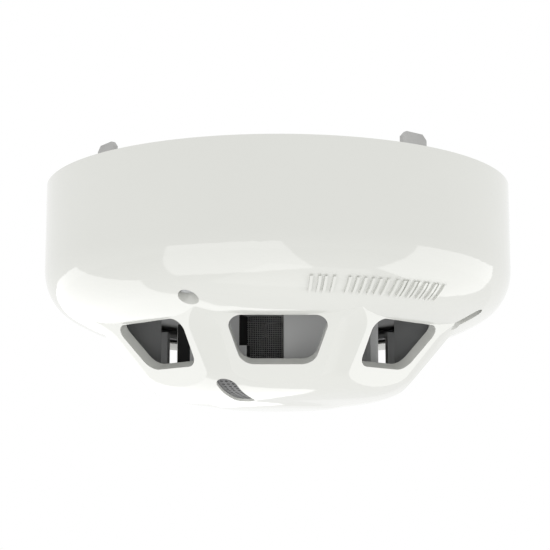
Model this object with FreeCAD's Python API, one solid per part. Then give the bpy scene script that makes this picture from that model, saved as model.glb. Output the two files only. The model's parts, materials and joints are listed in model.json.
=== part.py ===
import FreeCAD
import Part
import math
import os

# Ceiling heat detector head. Millimetres. The origin is the centre of the back rim, +Z points
# up to the ceiling, and azimuth 0 is the -Y side, growing towards +X.

WALL = 2.0                 # cover wall
WINDOWS = 8
PITCH = 360.0 / WINDOWS
FLAT_TOP = (36.6, -31.0)   # radius and height where a window's flat starts, under the shoulder
FLAT_LEAN = 40.0           # flat, from vertical
FLAT_LEN = 11.4
WIN_TOP, WIN_BOT = 10.1, 6.95      # half widths of a window
WIN_R_TOP, WIN_R_BOT = 2.4, 3.3
PILLAR = 22.5
RING_R = 47.6              # rear housing, inside the cover's skirt
BLADE_R, BLADE_W, BLADE_T = 42.9, 6.3, 0.9
BLADE_TOP, BLADE_FOOT = 4.65, -6.0
BLADE_AZ = [-52.4 + 90 * k for k in range(4)]
BOARD_R, BOARD_Z, BOARD_T = 40.0, -14.0, 1.6
DECK_Z, DECK_T, DECK_R = -26.2, 1.6, 40.5
CAGE_R, CAGE_W = 21.6, 4.2
SCREEN_R = CAGE_R - CAGE_W - 0.4
GUIDE_IN, GUIDE_OUT, GUIDE_T = 26.4, 42.4, 1.2
CAGE_POSTS, POST_AZ, POST_SPAN = 6, 21.1, 35.9
DECK_POST_AZ, DECK_POST_R = (80, 200, 320), 36.0
BOARD_POST_AZ, BOARD_POST_R = (0, 120, 240), 34.0
FLOOR_Z = -41.8            # lower end of the chamber parts
BEAD_AZ, BEAD_R = (135, -135), 23.9
LAMP_AZ, LAMP_R = (-22.5, 112.5), 43.3
SLOT_AZ, SLOT_IN, SLOT_OUT, SLOT_W = -22.5, 15.6, 28.0, 4.2
NECK = [(42.9, -28.55), (39.18, -30.77), (36.0, -33.7)]   # hollow curve where shoulder meets pillar

V = FreeCAD.Vector
UP = V(0, 0, 1)


def polar(az, r, z=0.0):
    a = math.radians(az)
    return V(r * math.sin(a), -r * math.cos(a), z)


def spin(shape, az):
    out = shape.copy()
    out.rotate(V(0, 0, 0), UP, az)
    return out


def ring(r_out, r_in, z0, z1):
    body = Part.makeCylinder(r_out, z1 - z0, V(0, 0, z0))
    if r_in > 0:
        body = body.cut(Part.makeCylinder(r_in, z1 - z0 + 2, V(0, 0, z0 - 1)))
    return body


def block(sx, sy, sz, cx=0.0, cy=0.0, z0=0.0, r=0.0):
    body = Part.makeBox(sx, sy, sz, V(cx - sx / 2, cy - sy / 2, z0))
    if r:
        tall = [e for e in body.Edges if abs(e.Vertexes[0].Z - e.Vertexes[-1].Z) > sz / 2]
        body = body.makeFillet(r, tall)
    return body


def soften(body, r, pick):
    edges = [e for e in body.Edges if pick(e)]
    try:
        out = body.makeFillet(r, edges)
        return out if out.isValid() else body
    except Exception:
        return body


def revolve(edges):
    face = Part.Face(Part.Wire(edges))
    return face.revolve(V(0, 0, 0), UP, 360)


def wedge(r_in, r_out, z0, z1, az, span):
    sector = Part.makeCylinder(r_out, z1 - z0, V(0, 0, z0), UP, span)
    sector = sector.cut(Part.makeCylinder(r_in, z1 - z0 + 2, V(0, 0, z0 - 1)))
    return spin(sector, az - 90 - span / 2)


def tube(points, r):
    """Round wire along a polyline with ball corners, one solid."""
    body = None
    for a, b in zip(points, points[1:]):
        leg = Part.makeCylinder(r, (b - a).Length, a, b - a)
        leg = leg if body is None else leg.fuse(Part.makeSphere(r, a))
        body = leg if body is None else body.fuse(leg)
    return body.removeSplitter()


def save(name, shapes):
    solids = []
    for s in (shapes if isinstance(shapes, list) else [shapes]):
        solids += s.Solids
    for s in solids:
        if not s.isValid() or s.Volume <= 0:
            raise ValueError(name)
    shape = solids[0] if len(solids) == 1 else Part.makeCompound(solids)
    shape.exportStep("parts/%s.step" % name)
    print(name, len(solids), round(sum(s.Volume for s in solids), 2))


# ---------------------------------------------------------------- cover
# Outline points: radius, height, and how far the outward normal dips below horizontal.
SKIRT = [(49.9, -17.5, 0), (48.85, -22.8, 25), (45.9, -26.7, 53), (42.6, -28.8, 60),
         (39.6, -30.2, 68), (35.2, -31.5, 76)]
DOME = [(29.9, -40.6, 42), (26.9, -42.9, 58), (23.3, -44.5, 70), (14.0, -46.1, 84), (0.0, -46.9, 90)]


def outline(points, inset):
    out = []
    for r, z, dip in points:
        a = math.radians(dip)
        out.append(V(max(r - inset * math.cos(a), 0.0), 0, z + inset * math.sin(a)))
    return out


def spline(points, start=None, end=None):
    curve = Part.BSplineCurve()
    if start is not None:
        curve.interpolate(Points=points, InitialTangent=start, FinalTangent=end)
    else:
        curve.interpolate(points)
    return curve.toShape()


def cover_solid(inset, top):
    """Solid of the skirt and shoulder, joined to the faceted dome, moved inwards by inset."""
    p = outline(SKIRT, inset)
    rim = V(50.0 - inset, 0, top)
    upper = revolve([Part.makeLine(V(0, 0, top), rim), Part.makeLine(rim, p[0]),
                     spline(p, V(0, 0, -1), V(-1, 0, -0.25)),
                     Part.makeLine(p[-1], V(0, 0, p[-1].z)),
                     Part.makeLine(V(0, 0, p[-1].z), V(0, 0, top))])
    q = outline(DOME, inset)
    lean = math.radians(41.3)
    reach = (-29.6 + 0.5 * inset - q[0].z) / math.cos(lean)
    high = q[0] + V(math.sin(lean), 0, math.cos(lean)) * reach
    side = [Part.makeLine(high, q[0])]
    if inset <= 0:
        neck = [V(r - inset * 0.6, 0, z + inset * 0.8) for r, z in NECK]
        high = neck[0]
        side = [Part.Arc(*neck).toShape(), Part.makeLine(neck[-1], q[0])]
    lower = revolve([Part.makeLine(V(0, 0, high.z), high)] + side +
                    [spline(q, V(-math.sin(lean), 0, -math.cos(lean)), V(-1, 0, 0)),
                     Part.makeLine(q[-1], V(0, 0, high.z))])
    rings = []
    for z in (-28.0, -48.5):
        apothem = FLAT_TOP[0] + math.tan(math.radians(FLAT_LEAN)) * (z - FLAT_TOP[1])
        apothem -= inset / math.cos(math.radians(FLAT_LEAN))
        corner = apothem / math.cos(math.radians(PITCH / 2))
        pts = [polar(PITCH * k + PILLAR, corner, z) for k in range(WINDOWS + 1)]
        rings.append(Part.makePolygon(pts))
    lower = lower.common(Part.makeLoft(rings, True, True))
    return upper.fuse(lower).removeSplitter()


def window_cutter():
    """Rounded trapezoid, square to the flat, on the -Y side."""
    a = math.radians(FLAT_LEAN)
    down = V(0, math.sin(a), -math.cos(a))
    out = V(0, -math.cos(a), -math.sin(a))
    top = V(0, -FLAT_TOP[0], FLAT_TOP[1]) + down * 0.15
    low = top + down * (FLAT_LEN - 0.15)
    x = V(1, 0, 0)
    pts = [top - x * WIN_TOP, top + x * WIN_TOP, low + x * WIN_BOT, low - x * WIN_BOT]
    pts = [q - out * 4.0 for q in pts]
    prism = Part.Face(Part.makePolygon(pts + pts[:1])).extrude(out * 7.0)
    for corners, r in ((pts[:2], WIN_R_TOP), (pts[2:], WIN_R_BOT)):
        for c in corners:
            edge = [e for e in prism.Edges if abs(e.Length - 7.0) < 1e-6
                    and min((v.Point - c).Length for v in e.Vertexes) < 0.9]
            prism = prism.makeFillet(r, edge[:1])
    return prism


def long_hole(az, r0, r1, width, z0, z1):
    """Round-ended radial slot."""
    h = z1 - z0
    body = Part.makeBox(width, r1 - r0 - width, h, V(-width / 2, -r1 + width / 2, z0))
    for r in (r0 + width / 2, r1 - width / 2):
        body = body.fuse(Part.makeCylinder(width / 2, h, V(0, -r, z0)))
    return spin(body.removeSplitter(), az)


def stroke(az, length, r_mid, width):
    """Upright plate set radially, from which the cover's raised bars are cut."""
    body = block(width, length, 6.0, 0, -r_mid, -31.5)
    return spin(body, az)


def make_cover():
    shell = cover_solid(0.0, 0.0)
    hollow = cover_solid(WALL, 1.0)
    shell = shell.cut(hollow)
    cutter = window_cutter()
    for k in range(WINDOWS):
        shell = shell.cut(spin(cutter, PITCH * k))
    for az in LAMP_AZ:
        shell = shell.cut(Part.makeCylinder(1.95, 12.0, polar(az, LAMP_R, -34.0)))
    for az in (67.5, -112.5):
        shell = shell.cut(long_hole(az, 38.4, 44.8, 3.7, -34.0, -24.0))
    shell = shell.cut(long_hole(SLOT_AZ, SLOT_IN, SLOT_OUT, SLOT_W, -49.0, -38.5))
    # pairs of thin raised bars in groups of two, three and five, as a plain grip mark
    proud = cover_solid(-0.45, -1.0)
    core = cover_solid(1.0, -0.5)
    for first, pitch, count in ((8.2, 3.3, 2), (16.9, 3.7, 3), (28.6, 3.0, 5)):
        for i in range(count):
            for offset in (-0.95, 0.95):
                bar = stroke(first + pitch * i + offset, 3.2, 46.2, 0.55)
                shell = shell.fuse(bar.common(proud).cut(core))
    # four small latch pads inside the skirt
    for k in range(4):
        shell = shell.fuse(wedge(47.75, 48.4, -7.2, -6.0, 45 + 90 * k, 12))
    return shell.removeSplitter()


def make_guide_ring():
    """Thin ring that ties the radial plates together above the windows."""
    return ring(36.6, 33.4, -28.9, -27.9)


def make_guide_plates():
    """Eight radial plates that follow the inside of the cover between the windows."""
    inner = cover_solid(WALL + 0.02, 1.0)
    keep_out = long_hole(SLOT_AZ, SLOT_IN - 0.4, SLOT_OUT + 0.4, SLOT_W + 0.8, -49.0, -40.2)
    plates = []
    for k in range(WINDOWS):
        plate = block(GUIDE_T, GUIDE_OUT - GUIDE_IN, 15.4, 0, -(GUIDE_IN + GUIDE_OUT) / 2, -44.3)
        plate = spin(plate, PILLAR + PITCH * k)
        plates.append(plate.common(inner).cut(keep_out))
    return plates


def make_strip():
    """Perforated strip that fills the slot in the floor, just under the outer surface."""
    plate = long_hole(0, SLOT_IN + 0.02, SLOT_OUT - 0.02, SLOT_W - 0.04, -49.0, -38.5)
    turn = -SLOT_AZ
    plate = plate.common(spin(cover_solid(0.55, -0.5), turn)).cut(spin(cover_solid(1.3, 1.0), turn))
    holes = []
    for i in range(12):
        for side in (-1.05, 0.0, 1.05):
            y = -(SLOT_IN + 0.9 + 0.98 * i)
            holes.append(Part.makeCylinder(0.3, 10, V(side, y, -48)))
    return spin(plate.cut(Part.makeCompound(holes)), SLOT_AZ)


# ---------------------------------------------------------------- head
def make_housing():
    body = ring(RING_R, 0, -9.0, -0.4)
    body = body.cut(ring(45.4, 0, -9.5, -3.0))
    body = body.cut(ring(30.0, 0, -1.4, 0))                   # shallow well for the base's contacts
    body = soften(body, 0.5, lambda e: e.Curve.TypeId == "Part::GeomCircle"
                  and abs(e.Curve.Radius - RING_R) < 0.01)
    for az in BLADE_AZ:
        slot = block(BLADE_W + 0.2, BLADE_T + 0.2, 8, 0, -BLADE_R, BLADE_FOOT)
        body = body.cut(spin(slot, az))
        for side in (-1, 1):                                  # guide cheeks beside each blade
            cheek = block(1.2, 3.2, 4.0, side * (BLADE_W / 2 + 0.9), -BLADE_R + 0.2, -6.8)
            body = body.fuse(spin(cheek, az))
    for az in BOARD_POST_AZ:                                  # posts for the board's screws
        post = Part.makeCylinder(2.6, 10.0, polar(az, BOARD_POST_R, BOARD_Z + BOARD_T))
        post = post.cut(Part.makeCylinder(1.1, 8.0, polar(az, BOARD_POST_R, BOARD_Z + BOARD_T)))
        body = body.fuse(post)
    for az in DECK_POST_AZ:                                 # long posts that carry the deck
        post = Part.makeCylinder(2.6, 23.0, polar(az, DECK_POST_R, DECK_Z + DECK_T))
        post = post.cut(Part.makeCylinder(1.1, 8.0, polar(az, DECK_POST_R, DECK_Z + DECK_T)))
        body = body.fuse(post)
    for k in range(4):                                        # key pockets for the twist-on base
        pocket = wedge(33.0, 38.5, -1.6, 0, 12 + 90 * k, 16)
        body = body.cut(pocket)
    body = body.cut(Part.makeCylinder(4.0, 4.0, V(0, 0, -4)))
    return body.removeSplitter()


def make_blade():
    """Flat blade, chamfered at its top corners, with an inward foot and a tail to the board."""
    w, t = BLADE_W, BLADE_T
    blade = block(w, t, BLADE_TOP - BLADE_FOOT, 0, -BLADE_R, BLADE_FOOT)
    crown = [e for e in blade.Edges if min(v.Z for v in e.Vertexes) > BLADE_TOP - 0.1
             and abs(e.Vertexes[0].Y - e.Vertexes[1].Y) > t / 2]
    blade = blade.makeChamfer(1.05, crown)
    foot = block(w, 6.4, 0.8, 0, -BLADE_R + 3.2, BLADE_FOOT).cut(
        Part.makeCylinder(1.25, 3, V(0, -BLADE_R + 4.0, -7)))
    return blade.fuse(foot).removeSplitter()


def make_rivet():
    z = BLADE_FOOT
    body = Part.makeCylinder(1.2, 3.0, V(0, -BLADE_R + 4.0, z))
    head = Part.makeCylinder(2.0, 0.7, V(0, -BLADE_R + 4.0, z - 0.7))
    head = head.makeChamfer(0.25, [e for e in head.Edges if abs(e.BoundBox.ZMax - (z - 0.7)) < 1e-6
                                   and e.Closed])
    return body.fuse(head).removeSplitter()


def make_board():
    board = ring(BOARD_R, 0, BOARD_Z, BOARD_Z + BOARD_T)
    for az in DECK_POST_AZ:
        board = board.cut(Part.makeCylinder(3.2, 3, polar(az, DECK_POST_R, BOARD_Z - 0.5)))
    for az in BOARD_POST_AZ:
        board = board.cut(Part.makeCylinder(1.2, 3, polar(az, BOARD_POST_R, BOARD_Z - 0.5)))
    for az in BLADE_AZ:
        notch = block(8.0, 6.0, 3, 0, -42.0, BOARD_Z - 0.5)
        board = board.cut(spin(notch, az))
    return board


def make_screw(length, z, az, r):
    """Pan-head screw pointing up, cross recess in its head, head's seat at z."""
    shank = Part.makeCylinder(1.0, length, polar(az, r, z))
    head = Part.makeCylinder(2.1, 1.3, polar(az, r, z - 1.3))
    head = head.makeFillet(0.6, [e for e in head.Edges if e.BoundBox.ZMax < z - 1.2 and e.Closed])
    p = polar(az, r)
    cross = block(2.4, 0.5, 0.8, p.x, p.y, z - 1.4).fuse(block(0.5, 2.4, 0.8, p.x, p.y, z - 1.4))
    return shank.fuse(head.cut(cross)).removeSplitter()


def make_chip(sx, sy, h, x, y, pins, pin_w, z):
    """Surface-mount package under the board with gull pins on two sides."""
    body = block(sx, sy, h, x, y, z - 0.1 - h)
    body = soften(body, 0.15, lambda e: e.BoundBox.ZMax < z - h + 0.2)
    pitch = sy / (pins + 0.5)
    for side in (-1, 1):
        for i in range(pins):
            py = y + (i - (pins - 1) / 2) * pitch
            px = x + side * (sx / 2 + 0.25)
            leg = block(0.7, pin_w, 0.25, px, py, z - 0.1 - h / 2)
            foot = block(0.25, pin_w, h / 2, px + side * 0.35, py, z - 0.07 - h / 2)
            pad = block(0.7, pin_w, 0.2, px + side * 0.6, py, z - 0.22)
            body = body.fuse(leg).fuse(foot).fuse(pad)
    return body.removeSplitter()


def make_thermistor(az):
    """Glass bead on two leads that come through the deck's sleeve."""
    p = polar(az, BEAD_R)
    t = polar(az + 90, 1.0)
    bead = Part.makeSphere(1.05, V(p.x, p.y, -35.6))
    neck = Part.makeCone(1.0, 0.75, 1.6, V(p.x, p.y, -35.2))
    bead = bead.fuse(neck)
    for s in (-1, 1):
        a = V(p.x + s * t.x * 0.5, p.y + s * t.y * 0.5, -34.4)
        b = V(p.x + s * t.x * 0.8, p.y + s * t.y * 0.8, -31.5)
        c = V(b.x, b.y, BOARD_Z - 0.05)
        bead = bead.fuse(tube([a, b, c], 0.22))
    return bead.removeSplitter()


def make_sleeve(az):
    p = polar(az, BEAD_R)
    body = Part.makeCylinder(1.75, 3.4, V(p.x, p.y, DECK_Z - 3.4))
    body = soften(body, 0.6, lambda e: e.BoundBox.ZMax < DECK_Z - 3.3)
    t = polar(az + 90, 0.8)
    for s in (-1, 1):
        body = body.cut(Part.makeCylinder(0.3, 6, V(p.x + s * t.x, p.y + s * t.y, DECK_Z - 5)))
    return body


def make_deck():
    deck = ring(DECK_R, 0, DECK_Z, DECK_Z + DECK_T)
    deck = deck.fuse(ring(DECK_R, DECK_R - 1.4, DECK_Z - 1.2, DECK_Z))
    deck = deck.cut(ring(15.0, 0, DECK_Z - 1, DECK_Z + 3))
    for az in DECK_POST_AZ:
        deck = deck.cut(Part.makeCylinder(1.2, 4, polar(az, DECK_POST_R, DECK_Z - 1)))
    for az in BEAD_AZ:
        p = polar(az, BEAD_R)
        deck = deck.cut(Part.makeCylinder(1.4, 4, V(p.x, p.y, DECK_Z - 1)))
    return deck.removeSplitter()


def make_cage():
    """Head ring, six broad posts and foot ring around the centre."""
    body = ring(CAGE_R, SCREEN_R + 0.4, DECK_Z - 2.6, DECK_Z - 0.02)
    body = body.fuse(ring(CAGE_R, SCREEN_R + 0.4, FLOOR_Z + 0.2, FLOOR_Z + 1.8))
    for k in range(CAGE_POSTS):
        body = body.fuse(wedge(SCREEN_R + 0.4, CAGE_R, FLOOR_Z + 1.0, DECK_Z - 1.0,
                               POST_AZ + 360.0 / CAGE_POSTS * k, POST_SPAN))
    small = wedge(CAGE_R - 0.8, CAGE_R + 1.4, -40.2, -35.3, -17.85, 4.5)
    return body.fuse(small).removeSplitter()


def make_screen():
    """Drum of fine mesh, drawn as a thin wall."""
    return ring(SCREEN_R, SCREEN_R - 0.5, FLOOR_Z + 0.2, DECK_Z - 0.3)


def make_labyrinth():
    body = ring(SCREEN_R - 0.7, 0, FLOOR_Z + 0.2, FLOOR_Z + 1.2)
    for k in range(12):
        vane = block(0.9, 6.0, 11.0, 0, 0, FLOOR_Z + 1.1)
        vane = vane.fuse(spin(block(0.9, 3.4, 11.0, 0, 0, FLOOR_Z + 1.1), 50).translated(V(1.1, -3.6, 0)))
        vane.rotate(V(0, 0, 0), UP, 38)
        vane.translate(V(0, -12.2, 0))
        vane = vane.common(ring(SCREEN_R - 0.8, 9.2, FLOOR_Z, DECK_Z))
        body = body.fuse(spin(vane, 30 * k))
    return body.removeSplitter()


def make_optics():
    """Domed block over the chamber with two angled barrels."""
    body = ring(14.6, 0, DECK_Z + 0.2, DECK_Z + 3.6)
    body = body.fuse(ring(17.2, 0, DECK_Z + DECK_T + 0.1, DECK_Z + 3.0))
    for s in (-1, 1):
        axis = V(s * 0.8, 0, 0.6)
        seat = V(s * 7.0, 0, DECK_Z + 1.8)
        body = body.fuse(Part.makeCylinder(3.6, 6.0, seat, axis))
    for s in (-1, 1):
        axis = V(s * 0.8, 0, 0.6)
        seat = V(s * 7.0, 0, DECK_Z + 1.8)
        body = body.cut(Part.makeCylinder(2.55, 12.0, seat - axis * 4.0, axis))
    body = body.common(ring(17.2, 0, DECK_Z + 0.2, DECK_Z + 7.6))
    return body.removeSplitter()


def make_diode(s):
    """Round lensed part lying along a barrel, its leads bent up to the board."""
    axis = V(s * 0.8, 0, 0.6)
    seat = V(s * 7.0, 0, DECK_Z + 1.8)
    body = Part.makeCylinder(2.45, 4.6, seat, axis).fuse(Part.makeSphere(2.45, seat))
    end = seat + axis * 4.6
    for t in (-0.9, 0.9):
        a = end + V(0, t, 0) - axis * 0.4
        b = end + V(0, t, 0) + axis * 1.6
        body = body.fuse(tube([a, b, V(b.x, b.y, BOARD_Z - 0.05)], 0.24))
    return body.removeSplitter()


def make_light_pipe(az):
    """Clear stepped rod from the lamp on the board to the hole in the shoulder."""
    p = polar(az, LAMP_R)
    low = Part.makeCylinder(1.5, 5.4, V(p.x, p.y, -27.4))
    low = soften(low, 0.5, lambda e: e.BoundBox.ZMax < -27.3)
    q = polar(az, 37.8)
    link = tube([V(p.x, p.y, -22.6), V(q.x, q.y, -19.6), V(q.x, q.y, -17.2)], 1.5)
    return low.fuse(link).removeSplitter()


def make_lamp(az):
    p = polar(az, 37.8)
    body = block(3.2, 2.8, 1.9, 0, -37.8, BOARD_Z - 2.0)
    body = spin(body, az)
    lens = Part.makeCylinder(1.1, 0.5, V(p.x, p.y, BOARD_Z - 2.45))
    return body.fuse(lens).removeSplitter()


def make_reed():
    y, z = 22.0, BOARD_Z - 2.0
    glass = Part.makeCylinder(1.1, 11.0, V(-5.5, y, z), V(1, 0, 0))
    for x in (-5.5, 5.5):
        glass = glass.fuse(Part.makeSphere(1.1, V(x, y, z)))
    for s in (-1, 1):
        lead = tube([V(s * 6.2, y, z), V(s * 8.6, y, z), V(s * 8.6, y, BOARD_Z - 0.05)], 0.3)
        glass = glass.fuse(lead)
    return glass.removeSplitter()


def make_reservoir():
    x, y = -24.0, 12.0
    top = BOARD_Z - 0.1
    body = Part.makeCylinder(3.15, 6.4, V(x, y, top - 6.6))
    body = soften(body, 0.5, lambda e: e.BoundBox.ZMax < top - 6.5)
    base = block(6.8, 6.8, 0.9, x, y, top - 0.9)
    return body.fuse(base).removeSplitter()


def make_header():
    body = block(10.2, 2.5, 2.4, 0, -25.0, BOARD_Z - 2.5)
    for i in range(4):
        pin = block(0.64, 0.64, 5.4, (i - 1.5) * 2.54, -25.0, BOARD_Z - 5.5)
        body = body.fuse(pin)
    return body.removeSplitter()


def make_crystal():
    body = block(8.0, 3.4, 1.8, 22.0, 14.0, BOARD_Z - 1.95, r=1.6)
    rim = block(8.8, 4.2, 0.4, 22.0, 14.0, BOARD_Z - 0.5, r=2.0)
    return body.fuse(rim).removeSplitter()


def passive(x, y, sx, sy, h, turn=0.0):
    body = block(sx, sy, h, 0, 0, BOARD_Z - 0.05 - h)
    for s in (-1, 1):
        body = body.fuse(block(sx * 0.22, sy + 0.1, h + 0.03, s * sx * 0.4, 0, BOARD_Z - 0.05 - h))
    body = spin(body, turn)
    return body.translated(V(x, y, 0)).removeSplitter()


def make_can():
    """Thin shield over the receiving side, with vents."""
    z = BOARD_Z - 0.1
    body = block(12.0, 9.0, 3.6, -25.5, -8.0, z - 3.6, r=0.8)
    body = body.cut(block(11.4, 8.4, 3.6, -25.5, -8.0, z - 3.3, r=0.6))
    for i in range(4):
        body = body.cut(Part.makeCylinder(0.6, 2, V(-28.5 + 2 * i, -8.0, z - 4.6)))
    return body


def make_seal():
    return Part.makeTorus(31.4, 0.8, V(0, 0, DECK_Z + DECK_T + 0.81))


os.makedirs("parts", exist_ok=True)

save("outer_cover", make_cover())
save("air_guide_ring", make_guide_ring())
save("air_guide_plates", make_guide_plates())
save("inlet_strip", make_strip())
save("rear_housing", make_housing())
for n, az in enumerate(BLADE_AZ, 1):
    save("terminal_blade_%d" % n, spin(make_blade(), az))
save("terminal_rivets", [spin(make_rivet(), az) for az in BLADE_AZ])
save("circuit_board", make_board())
save("board_screws", [make_screw(7.0, BOARD_Z, az, BOARD_POST_R) for az in BOARD_POST_AZ])
save("deck_screws", [make_screw(7.0, DECK_Z, az, DECK_POST_R) for az in DECK_POST_AZ])
save("microcontroller", make_chip(5.3, 7.2, 1.5, 24.5, -4.0, 10, 0.3, BOARD_Z))
save("voltage_regulator", make_chip(2.6, 4.5, 1.4, 14.0, -24.0, 3, 0.5, BOARD_Z))
save("surge_diodes", [make_chip(4.2, 2.6, 2.0, x, y, 1, 1.4, BOARD_Z)
                      for x, y in ((-14.0, -27.0), (-14.0, -22.6), (24.5, -22.5))])
save("chip_capacitors", [passive(x, y, 2.0, 1.25, 1.0, t) for x, y, t in
                         ((17.0, 3.5, 0), (18.0, -11.5, 90), (20.0, -15.5, 0), (-19.0, 20.0, 35),
                          (-22.0, -17.5, 0), (8.0, 27.0, 0), (12.6, 25.4, 90), (32.0, 5.0, 90))])
save("chip_resistors", [passive(x, y, 1.6, 0.8, 0.5, t) for x, y, t in
                        ((17.2, 7.0, 0), (19.8, 7.0, 0), (31.0, 0.0, 90), (31.0, -4.0, 90),
                         (31.0, -8.0, 90), (-10.0, 27.5, 0), (-7.0, 27.5, 0), (-4.0, 27.5, 0),
                         (-32.0, 4.0, 90), (-32.0, 8.0, 90), (9.0, -30.0, 0), (6.0, -30.0, 0))])
save("reservoir_capacitor", make_reservoir())
save("timing_crystal", make_crystal())
save("programming_header", make_header())
save("test_reed_switch", make_reed())
save("chamber_deck", make_deck())
save("deck_seal", make_seal())
save("chamber_cage", make_cage())
save("insect_screen", make_screen())
save("labyrinth_vanes", make_labyrinth())
save("optics_block", make_optics())
save("infrared_emitter", make_diode(-1))
save("photodiode", make_diode(1))
save("photodiode_shield", make_can())
for n, az in enumerate(BEAD_AZ, 1):
    save("thermistor_%d" % n, make_thermistor(az))
save("thermistor_sleeves", [make_sleeve(az) for az in BEAD_AZ])
for n, az in enumerate(LAMP_AZ, 1):
    save("light_pipe_%d" % n, make_light_pipe(az))
    save("indicator_led_%d" % n, make_lamp(az))
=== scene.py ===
import json
import math

import bpy
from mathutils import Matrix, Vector


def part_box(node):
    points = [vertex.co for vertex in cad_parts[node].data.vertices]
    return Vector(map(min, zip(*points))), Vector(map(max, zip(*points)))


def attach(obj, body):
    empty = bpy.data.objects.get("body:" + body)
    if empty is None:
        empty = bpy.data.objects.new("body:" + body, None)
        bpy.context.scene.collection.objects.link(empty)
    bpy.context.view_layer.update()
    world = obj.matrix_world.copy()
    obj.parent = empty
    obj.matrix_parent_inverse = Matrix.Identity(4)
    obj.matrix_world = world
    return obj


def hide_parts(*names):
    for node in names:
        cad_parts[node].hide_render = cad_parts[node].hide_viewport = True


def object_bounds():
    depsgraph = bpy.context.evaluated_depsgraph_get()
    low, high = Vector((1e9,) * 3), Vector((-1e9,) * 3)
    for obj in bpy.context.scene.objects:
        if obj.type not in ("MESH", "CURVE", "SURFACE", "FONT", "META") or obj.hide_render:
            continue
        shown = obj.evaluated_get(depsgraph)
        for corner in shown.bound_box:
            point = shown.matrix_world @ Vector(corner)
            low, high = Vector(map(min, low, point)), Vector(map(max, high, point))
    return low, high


# A ceiling heat detector head hanging in a white studio, seen from a little below.
# Metres. +Z is up to the ceiling and azimuth 0 is the -Y side, growing towards +X.

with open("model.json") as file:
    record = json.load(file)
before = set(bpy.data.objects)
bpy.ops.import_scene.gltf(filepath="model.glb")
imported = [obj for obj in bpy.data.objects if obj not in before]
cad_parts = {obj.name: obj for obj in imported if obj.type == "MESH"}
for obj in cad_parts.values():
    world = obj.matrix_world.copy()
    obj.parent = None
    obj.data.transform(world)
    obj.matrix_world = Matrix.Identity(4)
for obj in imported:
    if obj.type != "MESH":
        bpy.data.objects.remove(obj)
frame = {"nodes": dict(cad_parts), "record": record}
CAD_BOX = [list(corner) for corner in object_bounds()]
NODES = frame["nodes"]

MM = 0.001
WIRE_R = 0.06 * MM                 # insect screen: wire radius and spacing
WIRE_PITCH = 0.38 * MM
JOINT_FOOT, JOINT_TIP, JOINT_DROP = 1.15 * MM, 0.3 * MM, 0.75 * MM     # solder fillet radii and height
JOINT_GAP = 0.02 * MM              # between a fillet and the board
JOINT_RINGS, JOINT_SIDES = 4, 14
LEAD_REACH = 0.1 * MM              # a lead's end is this near the board's underside
LEAD_APART = 0.8 * MM              # and leads stand further apart than this
FLOOR_DROP = 1.2
FLOOR_HALF = 4.0
CAMERA_DISTANCE = 0.2702
CAMERA_RISE = math.radians(9.42)
CAMERA_TARGET = Vector((-0.58, 0, -17.54)) * MM
CAMERA_LENS = 81.2
SENSOR = 36.0
CARD_DISTANCE = 1.1
# Soft boxes: name, azimuth, elevation, width, height, and radiance against the white surround.
CARDS = [
    ("card_front_left", -25, -34, 1.22, 1.16, 0.80),
    ("card_right", 95, -24, 1.30, 1.00, 0.92),
    ("card_back_left", -142, -32, 1.50, 1.05, 0.92),
    ("card_below", 25, -72, 0.9, 0.9, 0.24),
]


# ------------------------------------------------------------------ helpers
def polar(azimuth, radius, z=0.0):
    a = math.radians(azimuth)
    return Vector((radius * math.sin(a), -radius * math.cos(a), z))


class Nodes:
    """Short names for building one material's node tree."""

    def __init__(self, name):
        self.material = bpy.data.materials.new(name)
        self.material.use_nodes = True
        self.tree = self.material.node_tree
        self.shader = self.tree.nodes["Principled BSDF"]
        self.place = self.add("ShaderNodeTexCoord").outputs["Object"]

    def add(self, kind):
        return self.tree.nodes.new(kind)

    def vector_math(self, operation):
        node = self.add("ShaderNodeVectorMath")
        node.operation = operation
        return node

    def link(self, a, b):
        self.tree.links.new(a, b)

    def noise(self, scale, detail=3.0, rough=0.5):
        node = self.add("ShaderNodeTexNoise")
        node.inputs["Scale"].default_value = scale
        node.inputs["Detail"].default_value = detail
        node.inputs["Roughness"].default_value = rough
        self.link(self.place, node.inputs["Vector"])
        return node.outputs["Fac"]

    def ramp(self, source, low, high, a=0.3, b=0.7):
        node = self.add("ShaderNodeValToRGB")
        node.color_ramp.elements[0].position = a
        node.color_ramp.elements[1].position = b
        node.color_ramp.elements[0].color = (*low, 1)
        node.color_ramp.elements[1].color = (*high, 1)
        self.link(source, node.inputs["Fac"])
        return node.outputs["Color"]

    def spread(self, source, low, high):
        node = self.add("ShaderNodeMapRange")
        node.inputs["To Min"].default_value = low
        node.inputs["To Max"].default_value = high
        self.link(source, node.inputs["Value"])
        return node.outputs["Result"]

    def bump(self, source, strength, distance):
        node = self.add("ShaderNodeBump")
        node.inputs["Strength"].default_value = strength
        node.inputs["Distance"].default_value = distance
        self.link(source, node.inputs["Height"])
        self.link(node.outputs["Normal"], self.shader.inputs["Normal"])

    def value(self, socket, number):
        self.shader.inputs[socket].default_value = number


def shade(color, factor):
    return tuple(min(1.0, c * factor) for c in color)


def moulded_surface(m, rough, grain, depth):
    """Uneven gloss and a fine texture."""
    m.link(m.spread(m.noise(160.0, 5.0), rough * 0.85, rough * 1.2), m.shader.inputs["Roughness"])
    m.bump(m.noise(grain, 2.0), 0.25, depth)


# ---------------------------------------------------------------- materials
def moulded(name, color, rough, vary, grain=900.0, depth=0.00002, ior=1.5):
    """Moulded plastic: faint colour drift, uneven gloss and a fine texture."""
    m = Nodes(name)
    drift = m.ramp(m.noise(38.0, 4.0), shade(color, 1 - vary), shade(color, 1 + vary))
    m.link(drift, m.shader.inputs["Base Color"])
    moulded_surface(m, rough, grain, depth)
    m.value("IOR", ior)
    return m.material


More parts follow.
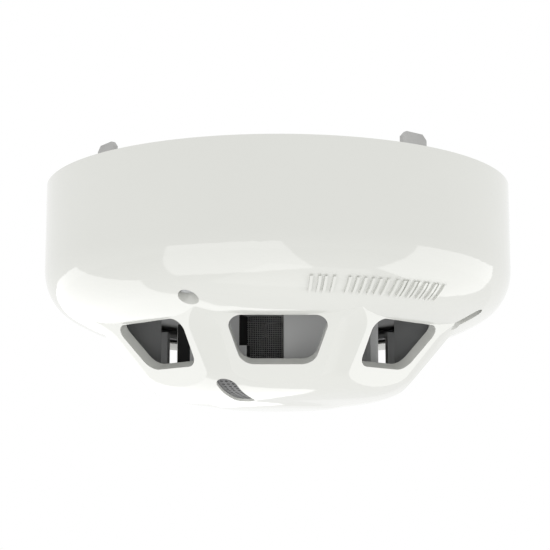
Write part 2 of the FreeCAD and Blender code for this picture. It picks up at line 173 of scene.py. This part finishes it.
def painted_shade_sides(name, color, painted_shade_colour, rough):
    """Moulded plastic with painted shade: the faces that look round the upright axis one way only are
    painted near black, standing in for the shadow on that side.
    """
    m = Nodes(name)
    around = m.vector_math("CROSS_PRODUCT")
    around.inputs[0].default_value = (0, 0, 1)
    m.link(m.place, around.inputs[1])
    unit = m.vector_math("NORMALIZE")
    m.link(around.outputs["Vector"], unit.inputs[0])
    facing = m.vector_math("DOT_PRODUCT")
    m.link(unit.outputs["Vector"], facing.inputs[0])
    m.link(m.place.node.outputs["Normal"], facing.inputs[1])
    # mask picks the faces turned one way round the upright axis; these get the painted shade colour
    mask = m.ramp(facing.outputs["Value"], (0, 0, 0), (1, 1, 1), 0.88, 0.92)
    mix = m.add("ShaderNodeMixRGB")
    m.link(mask, mix.inputs["Fac"])
    drift = m.ramp(m.noise(38.0, 4.0), shade(color, 0.92), shade(color, 1.08))
    m.link(drift, mix.inputs["Color1"])
    mix.inputs["Color2"].default_value = (*painted_shade_colour, 1)
    m.link(mix.outputs["Color"], m.shader.inputs["Base Color"])
    moulded_surface(m, rough, 1600.0, 0.00004)
    return m.material


def metal(name, color, rough, draw=14.0):
    """Plated or brushed metal; draw squeezes its fine lines along the upright axis."""
    m = Nodes(name)
    drift = m.ramp(m.noise(220.0, 4.0), shade(color, 0.9), shade(color, 1.06))
    m.link(drift, m.shader.inputs["Base Color"])
    m.value("Metallic", 1.0)
    stretch = m.add("ShaderNodeMapping")
    stretch.inputs["Scale"].default_value = (1.0, 1.0, draw)
    m.link(m.place, stretch.inputs["Vector"])
    lines = m.add("ShaderNodeTexNoise")
    lines.inputs["Scale"].default_value = 420.0
    m.link(stretch.outputs["Vector"], lines.inputs["Vector"])
    m.link(m.spread(lines.outputs["Fac"], rough * 0.7, rough * 1.35), m.shader.inputs["Roughness"])
    m.bump(lines.outputs["Fac"], 0.2, 0.00001)
    return m.material


def clear(name, color, rough, transmission=0.9):
    """Clear or tinted moulded lens with faint flow marks."""
    m = Nodes(name)
    m.link(m.ramp(m.noise(300.0), shade(color, 0.92), color), m.shader.inputs["Base Color"])
    m.link(m.spread(m.noise(500.0), rough * 0.7, rough * 1.4), m.shader.inputs["Roughness"])
    m.value("Transmission Weight", transmission)
    m.value("IOR", 1.49)
    return m.material


def solder_mask(name, color):
    """Green board: lacquer over copper tracks."""
    m = Nodes(name)
    tracks = m.add("ShaderNodeTexBrick")
    tracks.inputs["Scale"].default_value = 160.0
    tracks.inputs["Mortar Size"].default_value = 0.02
    tracks.inputs["Color1"].default_value = (*color, 1)
    tracks.inputs["Color2"].default_value = (*shade(color, 0.8), 1)
    tracks.inputs["Mortar"].default_value = (*shade(color, 1.7), 1)
    m.link(m.place, tracks.inputs["Vector"])
    m.link(tracks.outputs["Color"], m.shader.inputs["Base Color"])
    m.link(m.spread(m.noise(300.0), 0.22, 0.4), m.shader.inputs["Roughness"])
    m.bump(tracks.outputs["Fac"], 0.3, 0.00002)
    return m.material


WHITE = (0.60, 0.605, 0.572)
MATERIALS = {
    "cover_white": moulded("cover white", WHITE, 0.05, 0.006, grain=500.0, depth=0.000001, ior=1.85),
    "housing_white": moulded("housing white", (0.70, 0.70, 0.69), 0.42, 0.02),
    "guide_grey": moulded("guide grey", (0.20, 0.203, 0.203), 0.6, 0.08, grain=1600.0, depth=0.00004),
    "mesh_black": moulded("mesh black", (0.34, 0.34, 0.335), 0.55, 0.12),
    "mesh_grey": moulded("mesh grey", (0.11, 0.11, 0.11), 0.55, 0.1),
    "terminal_metal": metal("terminal plate", (0.44, 0.44, 0.43), 0.4),
    "screw_steel": metal("screw steel", (0.62, 0.62, 0.62), 0.3, draw=2.0),
    "board_green": solder_mask("board green", (0.03, 0.17, 0.08)),
    "chip_black": moulded("chip black", (0.03, 0.03, 0.033), 0.5, 0.15),
    "capacitor_tan": moulded("capacitor tan", (0.42, 0.29, 0.17), 0.45, 0.12),
    "resistor_black": moulded("resistor black", (0.04, 0.04, 0.04), 0.4, 0.15),
    "can_aluminium": metal("can aluminium", (0.75, 0.75, 0.76), 0.28),
    "reed_glass": clear("reed glass", (0.80, 0.90, 0.85), 0.06),
    "bead_amber": clear("bead amber", (0.55, 0.30, 0.12), 0.1, transmission=0.3),
    "sleeve_grey": moulded("sleeve grey", (0.36, 0.37, 0.365), 0.45, 0.06),
    "seal_black": moulded("seal black", (0.03, 0.03, 0.03), 0.7, 0.2),
    "vane_black": moulded("vane black", (0.015, 0.015, 0.015), 0.75, 0.2),
    "lens_clear": clear("lens clear", (0.55, 0.56, 0.56), 0.35, transmission=0.35),
    "lens_dark": clear("lens dark", (0.05, 0.04, 0.07), 0.15, transmission=0.25),
    "shield_tin": metal("shield tin", (0.72, 0.72, 0.70), 0.33),
}

# cage grey, with painted shade (near black) on the post side faces turned one way round the upright
# axis
CAGE_GREY = painted_shade_sides("cage grey", (0.60, 0.605, 0.60), (0.015, 0.015, 0.015), 0.55)

slot_of = {p["node"]: p["material_slot"] for p in frame["record"]["subparts"]}
for name, node in NODES.items():
    node.material_slots[0].material = MATERIALS[slot_of[name]]
NODES["chamber_cage"].material_slots[0].material = CAGE_GREY


# ------------------------------------------------------------------- pieces
def add_piece(name, verts, faces, body, slot):
    mesh = bpy.data.meshes.new(name)
    mesh.from_pydata(verts, [], faces)
    mesh.materials.append(MATERIALS[slot])
    piece = bpy.data.objects.new(name, mesh)
    bpy.context.scene.collection.objects.link(piece)
    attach(piece, body)
    return piece


def close_loop(faces, a, b, count):
    """Quads between two rings of count points that start at a and b."""
    for k in range(count):
        n = (k + 1) % count
        faces.append((a + k, a + n, b + n, b + k))


def strand(verts, faces, path, radius, closed):
    """Adds a thin four-sided wire along a list of points to one mesh."""
    base = len(verts)
    count = len(path)
    for i, point in enumerate(path):
        ahead = path[(i + 1) % count] if closed or i + 1 < count else point
        behind = path[i - 1] if closed or i else point
        along = (ahead - behind).normalized()
        side = Vector((point.x, point.y, 0)).normalized()
        across = along.cross(side).normalized()
        for u, v in ((1, 0), (0, 1), (-1, 0), (0, -1)):
            verts.append(point + (side * u + across * v) * radius)
    for i in range(count if closed else count - 1):
        close_loop(faces, base + 4 * i, base + 4 * ((i + 1) % count), 4)
    if not closed:
        last = base + 4 * (count - 1)
        faces.append((base + 3, base + 2, base + 1, base))
        faces.append((last, last + 1, last + 2, last + 3))


def make_insect_screen():
    """Woven wire drum behind the posts, in place of the plain wall."""
    low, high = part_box("insect_screen")
    radius = high.x - 2.4 * WIRE_R
    count = 2 * round(math.pi * radius / WIRE_PITCH)
    height = high.z - low.z - 2 * WIRE_R
    rows = round(height / WIRE_PITCH)

    def crossing(i, j, sign):
        weave = sign * WIRE_R if (i + j) % 2 else -sign * WIRE_R
        return polar(360 * i / count, radius + weave, low.z + WIRE_R + height / rows * j)

    verts, faces = [], []
    for i in range(count):
        strand(verts, faces, [crossing(i, j, 1) for j in range(rows + 1)], WIRE_R, False)
    for j in range(rows + 1):
        strand(verts, faces, [crossing(i, j, -1) for i in range(count)], WIRE_R, True)
    piece = add_piece("insect_screen_weave", verts, faces, "head", "mesh_black")
    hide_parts("insect_screen")


def make_solder_joints():
    """Small fillets where the leads of the beads and diodes meet the board."""
    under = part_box("circuit_board")[0].z
    spots = []
    for name in ("thermistor_1", "thermistor_2", "infrared_emitter", "photodiode", "test_reed_switch"):
        for vertex in NODES[name].data.vertices:
            spot = vertex.co.xy
            if vertex.co.z > under - LEAD_REACH and all((spot - s).length > LEAD_APART for s in spots):
                spots.append(spot)
    verts, faces = [], []
    for spot in spots:
        base = len(verts)
        for i in range(JOINT_RINGS):
            t = i / (JOINT_RINGS - 1)
            reach = JOINT_TIP + (JOINT_FOOT - JOINT_TIP) * (1 - t) ** 2
            for k in range(JOINT_SIDES):
                a = 2 * math.pi * k / JOINT_SIDES
                verts.append((spot.x + reach * math.cos(a), spot.y + reach * math.sin(a),
                              under - JOINT_GAP - JOINT_DROP * t))
        for i in range(JOINT_RINGS - 1):
            ring = base + JOINT_SIDES * i
            close_loop(faces, ring, ring + JOINT_SIDES, JOINT_SIDES)
        tip = base + JOINT_SIDES * (JOINT_RINGS - 1)
        faces.append(tuple(base + k for k in reversed(range(JOINT_SIDES))))
        faces.append(tuple(tip + k for k in range(JOINT_SIDES)))
    add_piece("solder_joints", verts, faces, "head", "shield_tin")


make_insect_screen()
make_solder_joints()


# -------------------------------------------------------------------- stage
def card(name, azimuth, elevation, width, height, radiance):
    """Soft box in a direction from the object, facing it."""
    rise = math.radians(elevation)
    place = polar(azimuth, CARD_DISTANCE * math.cos(rise), CARD_DISTANCE * math.sin(rise))
    light = bpy.data.lights.new(name, "AREA")
    light.shape = "RECTANGLE"
    light.size, light.size_y = width, height
    light.energy = radiance * math.pi * width * height
    lamp = bpy.data.objects.new(name, light)
    bpy.context.scene.collection.objects.link(lamp)
    lamp.location = place
    lamp.rotation_euler = (-place).to_track_quat("-Z", "Y").to_euler()


def make_stage():
    low = CAD_BOX[0][2] - FLOOR_DROP
    mesh = bpy.data.meshes.new("floor")
    corners = [(x * FLOOR_HALF, y * FLOOR_HALF, low) for x, y in ((-1, -1), (1, -1), (1, 1), (-1, 1))]
    mesh.from_pydata(corners, [], [(0, 1, 2, 3)])
    floor = bpy.data.objects.new("floor", mesh)
    bpy.context.scene.collection.objects.link(floor)
    mesh.materials.append(moulded("floor paper", (0.9, 0.9, 0.9), 0.7, 0.01))

    world = bpy.data.worlds.new("studio")
    world.use_nodes = True
    world.node_tree.nodes["Background"].inputs["Color"].default_value = (1, 1, 1, 1)
    world.node_tree.nodes["Background"].inputs["Strength"].default_value = 1.0
    bpy.context.scene.world = world

    for values in CARDS:
        card(*values)


def make_camera():
    back = Vector((0, -math.cos(CAMERA_RISE), -math.sin(CAMERA_RISE)))
    data = bpy.data.cameras.new("camera")
    data.lens = CAMERA_LENS
    data.sensor_width = SENSOR
    data.clip_start = 0.005
    camera = bpy.data.objects.new("camera", data)
    camera.location = CAMERA_TARGET + back * CAMERA_DISTANCE
    camera.rotation_euler = (-back).to_track_quat("-Z", "Y").to_euler()
    bpy.context.scene.collection.objects.link(camera)
    bpy.context.scene.camera = camera


make_stage()
make_camera()
bpy.context.scene.view_settings.view_transform = "Standard"
